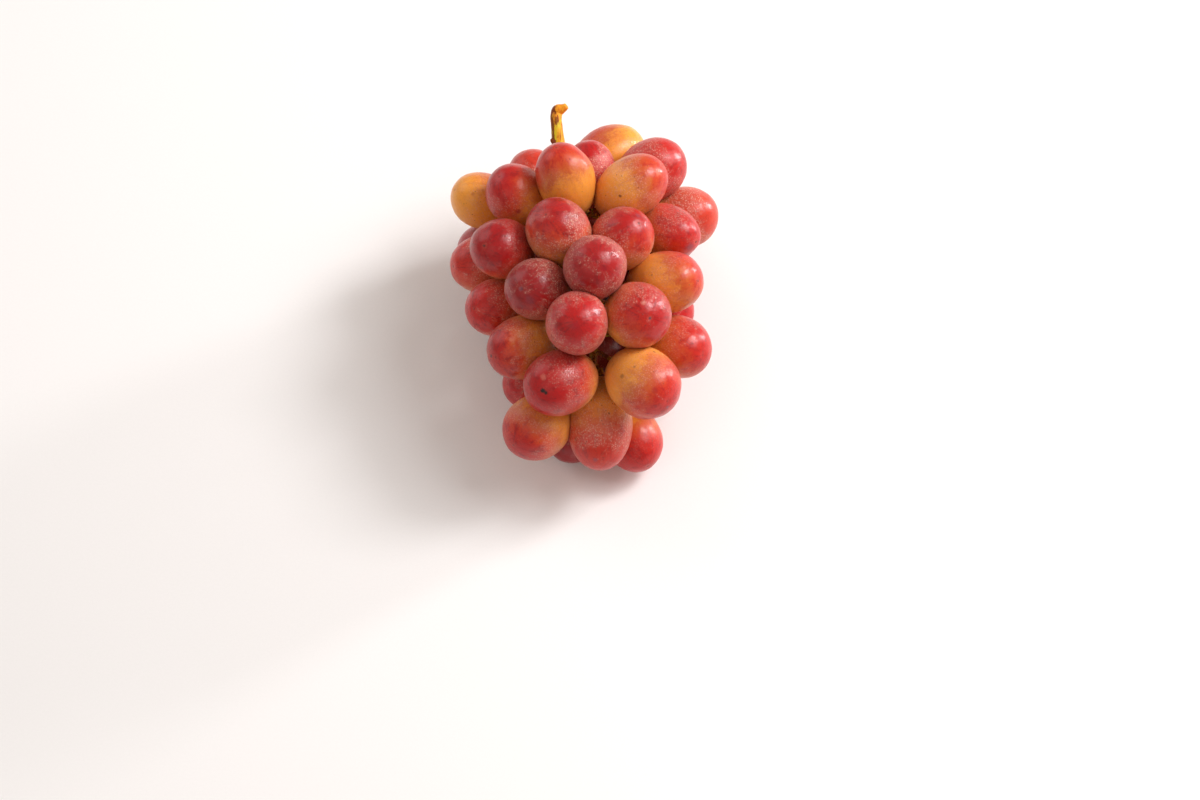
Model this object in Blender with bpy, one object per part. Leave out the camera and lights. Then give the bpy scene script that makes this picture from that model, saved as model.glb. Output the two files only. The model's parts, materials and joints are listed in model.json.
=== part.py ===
"""A bunch of large red grapes, laid down: the berries as one body, the stalk with its branches as another.

The places below were read by eye off one picture of the bunch, and the rest is worked out from them.
The layout is worked out in millimetres, and the solids are made in metres.
"""
import math

import bmesh
import bpy
import numpy as np
from mathutils import Matrix, Vector

# The picture that the places were read from, and how the bunch lies in it
MM_PER_UNIT = 0.477
EYE_DISTANCE = 2005.0
EYE_ELEVATION = 60.0
PICTURE_MIDDLE = (600.0, 400.0)
DATUM = (588.0, 473.0)
DATUM_HEIGHT = 14.0

# Sizes in millimetres
PRESS = 0.9
RESTING_DIP = 0.6
HIDDEN_HALF_LENGTH = 18.5
HIDDEN_HALF_WIDTH = 14.3
TAPER = 0.07
STALK_GAP = 0.4
STUB_LENGTH = 2.5
STUB_ROOM = 2.4
STALK_CLEARANCE = 0.45
PEDICEL_RADIUS = 1.05
LATERAL_RADIUS = 1.9
RECEPTACLE_RADIUS = 2.3
RECEPTACLE_LENGTH = 1.6
RACHIS_RADII = (3.1, 2.9, 2.7, 2.5, 2.2, 1.7)
PEDUNCLE_RADII = (3.2, 3.3, 2.9, 2.75, 2.8, 2.5, 1.7)
GRID_STEP = 2.0

# Mesh fineness
BERRY_SIDES = 12
BERRY_RINGS = 8
FACET_GROWTH = 1.014
STALK_SIDES = 8
PEDICEL_SIDES = 6
ROUNDS = 700
SEED = 7

# Seen berries: name, place of the free end's round across and down the picture, nearness (mm),
# the way the berry points (right, up, toward the eye), half length and half width (mm)
SEEN = [
    ("A", 620, 155, -50, 0.85, 0.35, -0.10, 19.5, 15.2),
    ("B", 657.5, 170.5, -31, 0.70, 0.50, 0.30, 19.0, 14.8),
    ("C", 684.5, 214, -35, 0.85, 0.10, 0.30, 19.0, 15.0),
    ("D", 639, 187, -6, 0.79, 0.55, 0.25, 20.0, 14.3),
    ("E", 589, 174, -25, 0.20, 0.80, 0.50, 17.0, 12.4),
    ("F", 563, 174, 2, -0.15, 0.78, 0.59, 20.0, 14.0),
    ("G", 535, 176, -30, -0.30, 0.85, 0.30, 18.0, 13.6),
    ("H", 514, 192, -6, -0.50, 0.45, 0.70, 18.0, 14.2),
    ("I", 482, 203, -27, -0.80, 0.30, 0.35, 17.5, 13.5),
    ("J", 559, 231, 17, -0.33, 0.39, 0.86, 19.0, 15.3),
    ("K", 624, 234, 11, 0.40, 0.55, 0.72, 19.0, 14.8),
    ("L", 500, 248, 13, -0.45, 0.05, 0.89, 18.5, 14.4),
    ("M", 675, 232, -7, 0.75, -0.40, 0.50, 19.0, 12.6),
    ("N", 486, 248, -38, -0.80, 0.10, 0.00, 17.0, 13.4),
    ("O", 478, 264, -13, -0.85, -0.10, 0.50, 18.0, 13.8),
    ("P", 594.5, 269, 33, 0.00, 0.05, 1.00, 19.0, 15.0),
    ("Q", 535, 288, 28, -0.40, -0.06, 0.91, 19.0, 14.8),
    ("R", 669, 280, 13, 0.80, -0.05, 0.55, 20.0, 14.9),
    ("S", 491, 308, 3, -0.60, -0.05, 0.75, 19.0, 13.8),
    ("T", 577.5, 321.5, 43, -0.02, -0.02, 1.00, 19.0, 14.9),
    ("U", 639, 315, 35, 0.33, -0.10, 0.93, 19.0, 15.7),
    ("V", 683, 348, 12, 0.60, -0.25, 0.70, 19.0, 14.8),
    ("W", 518, 351.5, 15, -0.65, -0.19, 0.74, 20.0, 14.8),
    ("X", 553.8, 383.5, 30, -0.60, -0.30, 0.74, 20.0, 15.7),
    ("Y", 646, 385, 29, 0.60, -0.42, 0.70, 20.5, 16.6),
    ("Z", 598.5, 436, 14, 0.00, -0.93, 0.35, 23.0, 15.2),
    ("AA", 537, 424, 8, -0.50, -0.60, 0.55, 18.0, 15.3),
    ("AB", 635, 444, -8, 0.40, -0.75, 0.40, 19.0, 14.0),
    ("AC", 530, 385, -9, -0.80, -0.30, 0.20, 18.0, 13.5),
    ("AD", 572, 436, -13, -0.10, -0.90, 0.10, 18.0, 13.6),
    ("AE", 672, 236, -48, 0.90, -0.30, -0.20, 17.0, 13.0),
    ("AF", 668, 312, -16, 0.90, -0.10, 0.20, 17.0, 13.0),
]

# Hidden berries lie in rows across the underside: distance along the bunch, then places across it (mm)
HIDDEN_ROWS = [
    (50, (-22, 27)),
    (66, (5,)),
    (80, (-30, 32)),
    (96, (-10,)),
    (107, (-40, 15, 34)),
    (136, (-26, 2, 30)),
]
HIDDEN_HEIGHT = 15.5

# The stalk through the bunch, from its upper end to its lower one (mm over the ground)
RACHIS = np.array([[-12.5, 150, 60], [-8, 139, 58], [-5, 124, 56], [0, 95, 52], [2, 65, 46], [3, 38, 35]], float)

# The cut stalk above the bunch, read as the berries' places are: across, down, nearness (mm)
PEDUNCLE = [
    (563, 160, -35), (560, 149, -36), (557.5, 135, -36.5), (556.3, 120, -37.5), (557, 109, -38.5),
    (560.5, 105.6, -38), (565.5, 104.6, -37),
]


def view_axes():
    """Right, up and toward the eye, as the picture was taken."""
    e = math.radians(EYE_ELEVATION)
    return (np.array([1.0, 0.0, 0.0]), np.array([0.0, math.sin(e), math.cos(e)]),
            np.array([0.0, -math.cos(e), math.sin(e)]))


def from_view(across, up, near):
    """The point that lies so far across, up and toward the eye from the datum."""
    r, u, t = view_axes()
    return across * r + up * u + near * t + np.array([0.0, 0.0, DATUM_HEIGHT])


def on_sight_line(x, y, near):
    """The point at a place in the picture, at a nearness."""
    t = view_axes()[2]
    eye = from_view((PICTURE_MIDDLE[0] - DATUM[0]) * MM_PER_UNIT, (DATUM[1] - PICTURE_MIDDLE[1]) * MM_PER_UNIT,
                    EYE_DISTANCE)
    ray = from_view((x - DATUM[0]) * MM_PER_UNIT, (DATUM[1] - y) * MM_PER_UNIT, 0.0) - eye
    return eye + ray * (EYE_DISTANCE - near) / -(ray @ t), eye


def nearest_on_rachis(points):
    """The nearest point of the rachis to each point."""
    a, b = RACHIS[:-1], RACHIS[1:]
    q = points[..., None, :]
    s = np.clip(((q - a) * (b - a)).sum(-1) / ((b - a) ** 2).sum(-1), 0, 1)
    foot = a + s[..., None] * (b - a)
    pick = np.linalg.norm(q - foot, axis=-1).argmin(-1)
    return np.take_along_axis(foot, pick[..., None, None].repeat(3, -1), -2)[..., 0, :]


def berries_at_start():
    """Centre, axis, half length, half width, sight line and whether seen, for each berry."""
    t = view_axes()[2]
    rows = []
    for _, x, y, near, right, up, toward, half, wide in SEEN:
        axis = np.array(view_axes()).T @ np.array([right, up, toward])
        axis /= np.linalg.norm(axis)
        end, eye = on_sight_line(x, y, near)
        centre = end - (half - wide) * (axis - (axis @ t) * t)
        ray = (centre - eye) / np.linalg.norm(centre - eye)
        rows.append((centre, axis, half, wide, ray, True))
    for along, places in HIDDEN_ROWS:
        for across in places:
            centre = np.array([across, along, HIDDEN_HEIGHT], float)
            axis = centre - nearest_on_rachis(centre)
            axis /= np.linalg.norm(axis)
            rows.append((centre, axis, HIDDEN_HALF_LENGTH, HIDDEN_HALF_WIDTH, np.zeros(3), False))
    return [np.array(column) for column in zip(*rows)] + [eye]


def settle_berries():
    """Press the berries together till each touches its neighbours, and keep the seen ones on their sight lines."""
    centre, axis, half, wide, ray, seen, eye = berries_at_start()
    n = len(centre)
    own = np.eye(n, dtype=bool)
    home, want = centre.copy(), axis.copy()
    t = view_axes()[2]
    spots = np.array([-0.9, -0.35, 0.35, 0.9])
    k = len(spots)
    at = spots * ((half ** 2 - wide ** 2) / half)[:, None]
    radius = wide[:, None] * np.sqrt(1 - at ** 2 / (half ** 2 - wide ** 2)[:, None])
    for step in range(ROUNDS):
        ball = centre[:, None, :] + at[:, :, None] * axis[:, None, :]
        gap = ball[:, None, :, None, :] - ball[None, :, None, :, :]
        apart = np.linalg.norm(gap, axis=-1) + 1e-9
        deep = (radius[:, None, :, None] + radius[None, :, None, :] - PRESS - apart).reshape(n, n, k * k)
        pick = deep.argmax(-1)
        way = np.take_along_axis((gap / apart[..., None]).reshape(n, n, k * k, 3),
                                 pick[..., None, None].repeat(3, -1), -2)[:, :, 0, :]
        worst = deep.max(-1)
        worst[own] = -1e9
        push = 0.5 * way * np.clip(worst, 0, None)[..., None]
        arm = np.take_along_axis(ball, (pick // k)[..., None].repeat(3, -1), 1) - centre[:, None, :]
        force = push.sum(1)
        turn = np.cross(arm, push).sum(1)
        # The small stalk of each keeps its room
        stub = centre - axis * (half + STUB_LENGTH)[:, None]
        gap = stub[:, None, None, :] - ball[None]
        apart = np.linalg.norm(gap, axis=-1) + 1e-9
        deep = radius[None] + STUB_ROOM - apart
        pick = deep.argmax(-1)
        hit = np.clip(deep.max(-1), 0, None)
        hit[own] = 0
        shove = np.take_along_axis(gap / apart[..., None], pick[..., None, None].repeat(3, -1), -2)[:, :, 0, :]
        shove *= 0.35 * hit[..., None]
        force += shove.sum(1) - shove.sum(0)
        turn += np.cross((stub - centre)[:, None, :], shove).sum(1)
        # The rachis keeps its room
        off = ball - nearest_on_rachis(ball)
        away = np.linalg.norm(off, axis=-1) + 1e-9
        room = 0.35 * off / away[..., None] * np.clip(radius + 4.0 - away, 0, None)[..., None]
        force += room.sum(1)
        turn += np.cross(ball - centre[:, None, :], room).sum(1)
        # The ground holds up the lowest
        low = centre[:, 2] - np.sqrt((half * axis[:, 2]) ** 2 + wide ** 2 * (1 - axis[:, 2] ** 2))
        force[:, 2] += 0.7 * np.clip(-RESTING_DIP - low, 0, None)
        # A seen berry is drawn to its sight line, a hidden one to its place, both a little to their depth
        pull = 0.25 if step < 0.75 * ROUNDS else 0.12
        on_line = eye + ((centre - eye) * ray).sum(1)[:, None] * ray
        to_line = pull * (on_line - centre) + 0.012 * ((home - centre) @ t)[:, None] * t
        force += np.where(seen[:, None], to_line, 0.02 * (home - centre))
        # Each is drawn to its two nearest neighbours, and in to the rachis
        near = np.argsort(-worst, axis=1)[:, :2]
        slack = np.clip(-np.take_along_axis(worst, near, 1), 0, 6)
        force -= 0.15 * (np.take_along_axis(way, near[..., None].repeat(3, -1), 1) * slack[..., None]).sum(1)
        inward = (ball - off).mean(1) - centre
        force += 0.10 * inward / np.linalg.norm(inward, axis=1)[:, None]
        centre = centre + 0.6 * force
        axis = axis + 0.006 * np.cross(turn, axis) + 0.03 * want
        axis /= np.linalg.norm(axis, axis=1)[:, None]
    return centre, axis, half, wide


def clearance(points, berries):
    """How far each point is outside the nearest berry, and the way out of it."""
    centre, axis, half, wide = berries
    best = np.full(len(points), 1e9)
    out = np.zeros((len(points), 3))
    for c, a, h, w in zip(centre, axis, half, wide):
        q = points - c
        along = q @ a
        across = q - along[:, None] * a
        size = np.sqrt((along / h) ** 2 + (across ** 2).sum(1) / w ** 2) + 1e-9
        length = np.linalg.norm(q, axis=1)
        free = length * (1 - 1 / size)
        normal = along[:, None] * a / h ** 2 + across / w ** 2
        normal /= np.linalg.norm(normal, axis=1)[:, None] + 1e-9
        closer = free < best
        best = np.where(closer, free, best)
        out[closer] = normal[closer]
    return best, out


def foot_of(berry):
    """Where a berry's stalk ends, and the way from there out along the stalk."""
    centre, axis, half, _ = berry
    return centre - axis * (half * FACET_GROWTH + STALK_GAP), -axis


def stalk_paths(berries):
    """A path from the rachis to each berry through the gaps between them, shared where they run together."""
    low = np.array([-64.0, -4.0, 4.0])
    count = np.array([65, 88, 54])
    cells = np.stack(np.meshgrid(*[np.arange(c) for c in count], indexing="ij"), -1)
    place = low + GRID_STEP * cells
    flat = place.reshape(-1, 3)
    free = clearance(flat, berries)[0].reshape(count)
    core = np.linalg.norm(flat - nearest_on_rachis(flat), axis=1).reshape(count)
    cost = 1 + 3.0 * np.clip(2.2 - free, 0, None) ** 2 + 0.0009 * core ** 2
    cost[free < -0.8] = 1e6
    arc = np.concatenate([[0], np.cumsum(np.linalg.norm(np.diff(RACHIS, axis=0), axis=1))])
    far = np.full(count, 1e9)
    for s in np.arange(0, arc[-1], 1.0):
        p = np.array([np.interp(s, arc, RACHIS[:, i]) for i in range(3)])
        i = tuple(np.rint((p - low) / GRID_STEP).astype(int))
        far[i] = min(far[i], 0.45 * s)
    far, cost, core = far.astype(np.float32), cost.astype(np.float32), core.astype(np.float32)
    steps = [(i, j, k) for i in (-1, 0, 1) for j in (-1, 0, 1) for k in (-1, 0, 1) if (i, j, k) != (0, 0, 0)]
    for _ in range(70):
        before = far.copy()
        for step in steps:
            here = tuple(slice(max(0, -s), min(c, c - s)) for s, c in zip(step, count))
            there = tuple(slice(max(0, s), min(c, c + s)) for s, c in zip(step, count))
            length = np.float32(0.5 * GRID_STEP * math.sqrt(sum(s * s for s in step)))
            far[here] = np.minimum(far[here], far[there] + length * (cost[here] + cost[there]))
        if np.allclose(before, far):
            break
    traces = []
    for berry in zip(*berries):
        end, back = foot_of(berry)
        start = end + back * 3.5
        cell = tuple(np.clip(np.rint((start - low) / GRID_STEP).astype(int), 1, count - 2))
        trace = [cell]
        while len(trace) < 90 and core[cell] > 2.6:
            around = [tuple(np.add(cell, s)) for s in steps]
            around = [c for c in around if all(0 <= v < m for v, m in zip(c, count))]
            prices = [far[c] + GRID_STEP * math.dist(c, cell) * 0.5 * (cost[c] + cost[cell]) for c in around]
            best = int(np.argmin(prices))
            if far[around[best]] >= far[cell]:
                break
            cell = around[best]
            trace.append(cell)
        traces.append(trace)
    loads = {}
    for trace in traces:
        for cell in trace:
            loads[cell] = loads.get(cell, 0) + 1
    paths, used = [], {}
    order = sorted(range(len(traces)), key=lambda i: (-len(traces[i]), i))
    for i in order:
        trace = traces[i]
        cut = next((j for j, cell in enumerate(trace) if cell in used), None)
        own = trace if cut is None else trace[:cut]
        end, back = foot_of([column[i] for column in berries])
        points = [end, end + back * RECEPTACLE_LENGTH, end + back * 3.5] + [low + GRID_STEP * np.array(c) for c in own[1:]]
        load = [1, 1, 1] + [loads[c] for c in own[1:]]
        if cut is None:
            points.append(nearest_on_rachis(points[-1]))
            load.append(load[-1])
            parent = None
        else:
            parent = used[trace[cut]]
        for c in own:
            used.setdefault(c, len(paths))
        paths.append({"points": np.array(points), "load": load, "parent": parent,
                      "join": None if cut is None else low + GRID_STEP * np.array(trace[cut])})
    for path in paths:
        p, load = path["points"], path["load"]
        if path["parent"] is not None:
            trunk = paths[path["parent"]]["smooth"]
            p = np.vstack([p, trunk[np.linalg.norm(trunk - path["join"], axis=1).argmin()]])
            load = load + [load[-1]]
        radius = np.minimum(PEDICEL_RADIUS * np.array(load, float) ** 0.4, LATERAL_RADIUS)
        for _ in range(60):
            middle = 0.5 * p[2:-1] + 0.25 * (p[1:-2] + p[3:])
            free, out = clearance(middle, berries)
            short = np.clip(radius[2:-1] + STALK_CLEARANCE - free, 0, None)
            p[2:-1] = middle + out * short[:, None]
        path["smooth"], path["radius"] = p, radius
    return [(path["smooth"], path["radius"]) for path in paths]


def thin_out(points, radius, spacing):
    """Fewer points on a path, evenly spread, with its first three kept."""
    head, tail = points[:3], points[2:]
    arc = np.concatenate([[0], np.cumsum(np.linalg.norm(np.diff(tail, axis=0), axis=1))])
    count = max(2, int(round(arc[-1] / spacing)) + 1)
    at = np.linspace(0, arc[-1], count)[1:]
    more = np.stack([np.interp(at, arc, tail[:, i]) for i in range(3)], 1)
    return np.vstack([head, more]), np.concatenate([radius[:3], np.interp(at, arc, radius[2:])])


def new_object(name, bm, collection):
    """An object from a bmesh, in a collection."""
    bmesh.ops.recalc_face_normals(bm, faces=bm.faces)
    mesh = bpy.data.meshes.new(name)
    bm.to_mesh(mesh)
    bm.free()
    obj = bpy.data.objects.new(name, mesh)
    collection.objects.link(obj)
    return obj


def berry_solid(name, berry, spin, collection):
    """One berry: an oval, broader toward its free end."""
    centre, axis, half, wide = berry
    bm = bmesh.new()
    bmesh.ops.create_uvsphere(bm, u_segments=BERRY_SIDES, v_segments=BERRY_RINGS, radius=1.0)
    for v in bm.verts:
        girth = wide * FACET_GROWTH * (1 + TAPER * v.co.z)
        v.co = Vector((v.co.x * girth, v.co.y * girth, v.co.z * half * FACET_GROWTH))
    turn = Vector((0, 0, 1)).rotation_difference(Vector(axis)).to_matrix().to_4x4()
    move = Matrix.Translation(Vector(centre)) @ turn @ Matrix.Rotation(spin, 4, "Z")
    bmesh.ops.transform(bm, matrix=Matrix.Scale(0.001, 4) @ move, verts=bm.verts)
    return new_object(name, bm, collection)


def tube_solid(name, points, radii, sides, collection):
    """A closed tube along a path, with flat ends."""
    bm = bmesh.new()
    points = [Vector(p) for p in points]
    side = None
    rings = []
    for i, p in enumerate(points):
        way = (points[min(i + 1, len(points) - 1)] - points[max(i - 1, 0)]).normalized()
        side = way.orthogonal() if side is None else side - way * side.dot(way)
        side.normalize()
        other = way.cross(side)
        radius = float(radii[i])
        rings.append([bm.verts.new((p + radius * (math.cos(a) * side + math.sin(a) * other)) * 0.001)
                      for a in (math.tau * j / sides for j in range(sides))])
    for a, b in zip(rings[:-1], rings[1:]):
        for j in range(sides):
            bm.faces.new((a[j], a[(j + 1) % sides], b[(j + 1) % sides], b[j]))
    bm.faces.new(rings[0])
    bm.faces.new(rings[-1])
    return new_object(name, bm, collection)


def boolean(target, operation, collection=None, cutter=None, solver="MANIFOLD"):
    """Join to an object the solids of a collection, or cut one solid from it, and remove what was used."""
    mod = target.modifiers.new("bool", "BOOLEAN")
    mod.operation = operation
    mod.solver = solver
    if collection is not None:
        mod.operand_type = "COLLECTION"
        mod.collection = collection
    else:
        mod.object = cutter
    bpy.context.view_layer.update()
    mesh = bpy.data.meshes.new_from_object(target.evaluated_get(bpy.context.evaluated_depsgraph_get()))
    target.modifiers.clear()
    target.data = mesh
    for used in (list(collection.objects) if collection is not None else [cutter]):
        bpy.data.objects.remove(used, do_unlink=True)


def keep_largest(obj, name):
    """Drop what came loose, triangulate, and name the mesh."""
    bm = bmesh.new()
    bm.from_mesh(obj.data)
    bmesh.ops.triangulate(bm, faces=bm.faces)
    left, pieces = set(bm.faces), []
    while left:
        piece, edge = [], [left.pop()]
        while edge:
            face = edge.pop()
            piece.append(face)
            for other in (f for e in face.edges for f in e.link_faces if f in left):
                left.discard(other)
                edge.append(other)
        pieces.append(piece)
    pieces.sort(key=len, reverse=True)
    bmesh.ops.delete(bm, geom=[face for piece in pieces[1:] for face in piece], context="FACES")
    bm.to_mesh(obj.data)
    bm.free()
    obj.data.name = name


def material(name, colour, roughness):
    """A plain Principled material."""
    mat = bpy.data.materials.new(name)
    mat.use_nodes = True
    shader = mat.node_tree.nodes["Principled BSDF"]
    shader.inputs["Base Color"].default_value = (*colour, 1.0)
    shader.inputs["Roughness"].default_value = roughness
    return mat


def set_on_origin(objects):
    """Move the whole so that the middle of its box lies over the origin, on the ground."""
    corners = np.array([v.co for obj in objects for v in obj.data.vertices])
    low, high = corners.min(0), corners.max(0)
    shift = Vector((-(low[0] + high[0]) / 2, -(low[1] + high[1]) / 2, -low[2]))
    for obj in objects:
        obj.data.transform(Matrix.Translation(shift))


def finish(obj, name, mat):
    """Name, shade smooth and colour a node."""
    obj.name = name
    obj.data.materials.clear()
    obj.data.materials.append(mat)
    for face in obj.data.polygons:
        face.use_smooth = True
        face.material_index = 0


def main():
    """Build the two nodes."""
    for obj in list(bpy.data.objects):
        bpy.data.objects.remove(obj, do_unlink=True)
    bunch = bpy.data.collections.new("bunch_of_grapes")
    cutters = bpy.data.collections.new("cutters")
    repeats = bpy.data.collections.new("repeats")
    for collection in (bunch, cutters, repeats):
        bpy.context.scene.collection.children.link(collection)

    berries = settle_berries()
    spins = np.random.default_rng(SEED).uniform(0, math.tau, len(berries[0]))
    each = list(zip(*berries))

    # Berries, pressed into one body, with flat spots where the lowest rest
    whole = berry_solid("berries", each[0], spins[0], bunch)
    for i, berry in enumerate(each[1:], start=1):
        berry_solid("berry_%d" % i, berry, spins[i], repeats)
    boolean(whole, "UNION", collection=repeats)
    bm = bmesh.new()
    bmesh.ops.create_cube(bm, size=1.0)
    bmesh.ops.transform(bm, matrix=Matrix.Translation((0.0, 0.08, -0.02)) @ Matrix.Diagonal((0.3, 0.4, 0.04, 1.0)),
                        verts=bm.verts)
    ground = new_object("ground", bm, cutters)
    ground.hide_render, ground.display_type = True, "WIRE"
    boolean(whole, "DIFFERENCE", cutter=ground)
    keep_largest(whole, "berries")

    # The stalk, its branches and a small stalk to each berry, as one body
    peduncle = [on_sight_line(*place)[0] for place in PEDUNCLE]
    trunk = [*peduncle[::-1], *RACHIS[1:]]
    stem = tube_solid("stem", trunk, [*PEDUNCLE_RADII[::-1], *RACHIS_RADII[1:]], STALK_SIDES, bunch)
    for i, (points, radius) in enumerate(stalk_paths(berries)):
        points, radius = thin_out(points, radius, 6.0)
        radius[0], radius[1] = RECEPTACLE_RADIUS, RECEPTACLE_RADIUS * 0.8
        tube_solid("branch_%d" % i, points, radius, PEDICEL_SIDES, repeats)
    boolean(stem, "UNION", collection=repeats)
    # Where a branch would brush a berry it is shaved clear
    for i, (centre, axis, half, wide) in enumerate(each):
        berry_solid("room_%d" % i, (centre, axis, half + 0.33, wide + 0.33), spins[i], repeats)
    room = list(repeats.objects)[0]
    repeats.objects.unlink(room)
    cutters.objects.link(room)
    boolean(room, "UNION", collection=repeats)
    boolean(stem, "DIFFERENCE", cutter=room)
    keep_largest(stem, "stem")

    set_on_origin([whole, stem])
    finish(whole, "berries", material("grape_skin", (0.55, 0.06, 0.08), 0.35))
    finish(stem, "stem", material("stalk", (0.55, 0.36, 0.09), 0.7))
    bpy.data.collections.remove(repeats)


main()
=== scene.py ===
"""The looks of a bunch of large red grapes, laid down on a pale floor.

The places of the berries and of the stalk are worked out as the solids' own source works them out, in
millimetres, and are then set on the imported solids. Each berry is a piece with its own skin.
"""
import json
import math

import bpy
import numpy as np
from mathutils import Matrix, Vector, noise

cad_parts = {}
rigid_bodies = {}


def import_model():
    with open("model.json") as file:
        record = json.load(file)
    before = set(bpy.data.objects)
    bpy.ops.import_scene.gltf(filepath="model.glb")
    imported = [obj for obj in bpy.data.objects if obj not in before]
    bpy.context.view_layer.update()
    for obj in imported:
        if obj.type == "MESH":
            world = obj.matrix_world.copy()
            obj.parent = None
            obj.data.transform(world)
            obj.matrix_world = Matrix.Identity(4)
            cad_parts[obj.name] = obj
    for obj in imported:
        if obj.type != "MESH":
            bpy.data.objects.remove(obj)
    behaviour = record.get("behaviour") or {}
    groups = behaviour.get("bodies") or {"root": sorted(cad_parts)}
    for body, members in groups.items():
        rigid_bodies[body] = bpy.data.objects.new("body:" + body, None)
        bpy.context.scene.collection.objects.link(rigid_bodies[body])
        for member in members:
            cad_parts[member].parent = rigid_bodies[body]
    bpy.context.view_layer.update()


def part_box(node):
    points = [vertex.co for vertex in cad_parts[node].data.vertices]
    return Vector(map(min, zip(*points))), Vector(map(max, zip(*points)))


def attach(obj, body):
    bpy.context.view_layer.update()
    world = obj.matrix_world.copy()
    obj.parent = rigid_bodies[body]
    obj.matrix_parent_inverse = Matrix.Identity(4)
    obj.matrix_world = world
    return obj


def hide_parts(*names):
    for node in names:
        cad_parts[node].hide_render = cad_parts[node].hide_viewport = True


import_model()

# The picture that the places were read from, and how the bunch lies in it
MM_PER_UNIT = 0.477
EYE_DISTANCE = 2005.0
EYE_ELEVATION = 60.0
PICTURE_SIZE = (1200.0, 800.0)
PICTURE_MIDDLE = (600.0, 400.0)
DATUM = (588.0, 473.0)
DATUM_HEIGHT = 14.0

# Sizes in millimetres
PRESS = 0.9
RESTING_DIP = 0.6
HIDDEN_HALF_LENGTH = 18.5
HIDDEN_HALF_WIDTH = 14.3
TAPER = 0.07
STALK_GAP = 0.4
STUB_LENGTH = 2.5
STUB_ROOM = 2.4
STALK_CLEARANCE = 0.45
PEDICEL_RADIUS = 1.05
LATERAL_RADIUS = 1.9
RECEPTACLE_RADIUS = 2.3
RECEPTACLE_LENGTH = 1.6
STRAIGHT_OUT = 3.5
RACHIS_RADII = (3.1, 2.9, 2.7, 2.5, 2.2, 1.7)
PEDUNCLE_RADII = (3.2, 3.3, 2.9, 2.75)
ROOT_SHARE = 0.98

# The solids' fineness, which their box depends on
BERRY_SIDES = 12
BERRY_RINGS = 8
FACET_GROWTH = 1.014
SEED = 7

# How the berries settle: each is felt as balls along its length, and takes up a share of every push and pull
ROUNDS = 700
BALLS = (-0.9, -0.35, 0.35, 0.9)
PUSH_SHARE = 0.5
STUB_SHARE = 0.35
RACHIS_SHARE = 0.35
RACHIS_ROOM = 4.0
GROUND_SHARE = 0.7
SIGHT_PULL = 0.25
LATE_SIGHT_PULL = 0.12
LATE_FROM = 0.75
DEPTH_PULL = 0.012
HOME_PULL = 0.02
NEIGHBOURS = 2
NEIGHBOUR_PULL = 0.15
NEIGHBOUR_REACH = 6
INWARD_PULL = 0.10
MOVE_SHARE = 0.6
TURN_SHARE = 0.006
AXIS_MEMORY = 0.03
FAR_AWAY = 1e9
TINY = 1e-9

# The grid on which the small stalks find their way: its lowest corner (mm), its cells and their size
GRID_CORNER = np.array([-64.0, -4.0, 4.0])
GRID_COUNT = np.array([65, 88, 54])
GRID_STEP = 2.0
GRID_WAYS = [(i, j, k) for i in (-1, 0, 1) for j in (-1, 0, 1) for k in (-1, 0, 1) if (i, j, k) != (0, 0, 0)]

# What a way costs: more in a gap under the easy room, more the further it is from the rachis
EASY_ROOM = 2.2
TIGHT_COST = 3.0
OUTWARD_COST = 0.0009
DEEPEST_PASS = -0.8
BLOCKED_COST = 1e6
RACHIS_COST = 0.45
SWEEPS = 70
LONGEST_TRACE = 90
CORE_REACH = 2.6
LOAD_POWER = 0.4
EASINGS = 60

# The finer pieces
FINE_SIDES = 84
FINE_RINGS = 76
POLE_CROWDING = 0.78
TUBE_SIDES = 20
TUBE_STEP = 0.6

# How uneven a berry is: shares of its girth, then heights of its dips and swells with their widths (mm)
OVAL_SHARE = 0.014
THREE_SIDED_SHARE = 0.008
SCAR_DIP = (0.22, 1.7)
SCAR_KNOB = (0.14, 0.5)
STALK_DIMPLE = (1.1, 3.2)
SWELL = (0.42, 13.0)
SMALL_SWELL = (0.10, 3.6)
CALM_WIDTH = 4.0
NOISE_SPAN = 200
SOFT_PRESS = 0.10
PRESS_REACH = 6.0

# How uneven a stalk is: turns of the noise round it, and its length along it (mm)
RIDGE = (1.6, 7.0)
SMALL_RIDGE = (4.0, 3.0)
RECEPTACLE_PLACE = 1.0
RECEPTACLE_SPREAD = 1.5
RECEPTACLE_SINK = 1.6

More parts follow.
